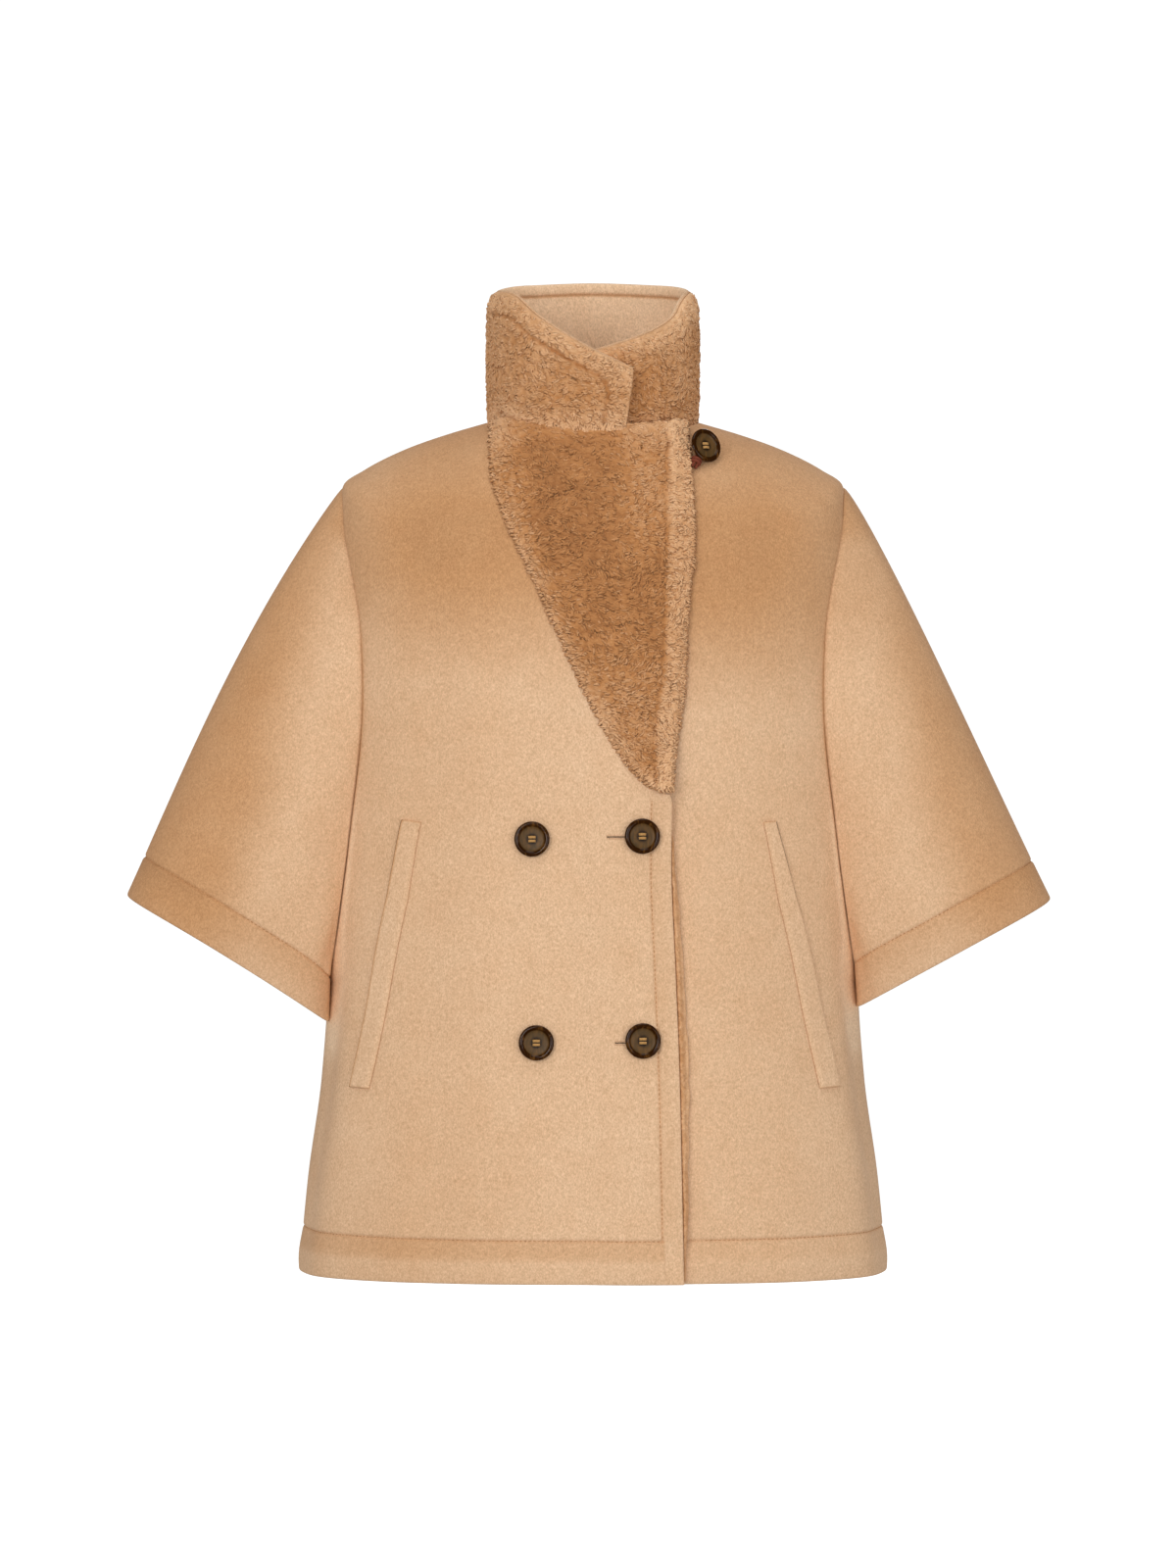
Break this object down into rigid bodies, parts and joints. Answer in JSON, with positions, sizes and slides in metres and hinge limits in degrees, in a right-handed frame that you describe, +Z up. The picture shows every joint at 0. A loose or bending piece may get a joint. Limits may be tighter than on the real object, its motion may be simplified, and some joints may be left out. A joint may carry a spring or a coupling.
{
  "type": "wool cape",
  "caption": "Short hollow wool cape jacket, double-breasted, with wide half sleeves, a curly fur stand collar and a triangular fur lapel buttoned at the neck.",
  "frame": {"origin": "middle of the neck, level with the points where the neckline meets the shoulder seams", "axes": "+Z up, the front faces -Y, the wearer's left side is at +X"},
  "size_m": [0.7517, 0.3139, 0.8116],
  "materials": {
    "wool": "brushed camel coat wool",
    "fur": "curly cinnamon pile",
    "horn": "polished dark brown horn",
    "cord": "reddish brown twisted cord"
  },
  "bodies": {
    "root": {"front_right": "wool", "front_left": "wool", "back": "wool", "sleeve_right_front": "wool", "sleeve_right_back": "wool", "sleeve_left_front": "wool", "sleeve_left_back": "wool", "collar_fur": "fur", "collar_wool": "wool", "lapel_fur": "fur", "facing_fur": "fur", "welt_right": "wool", "welt_left": "wool", "button_1": "horn", "button_2": "horn", "button_3": "horn", "button_4": "horn", "button_neck": "horn", "loop_neck": "cord"}
  },
  "joints": []
}
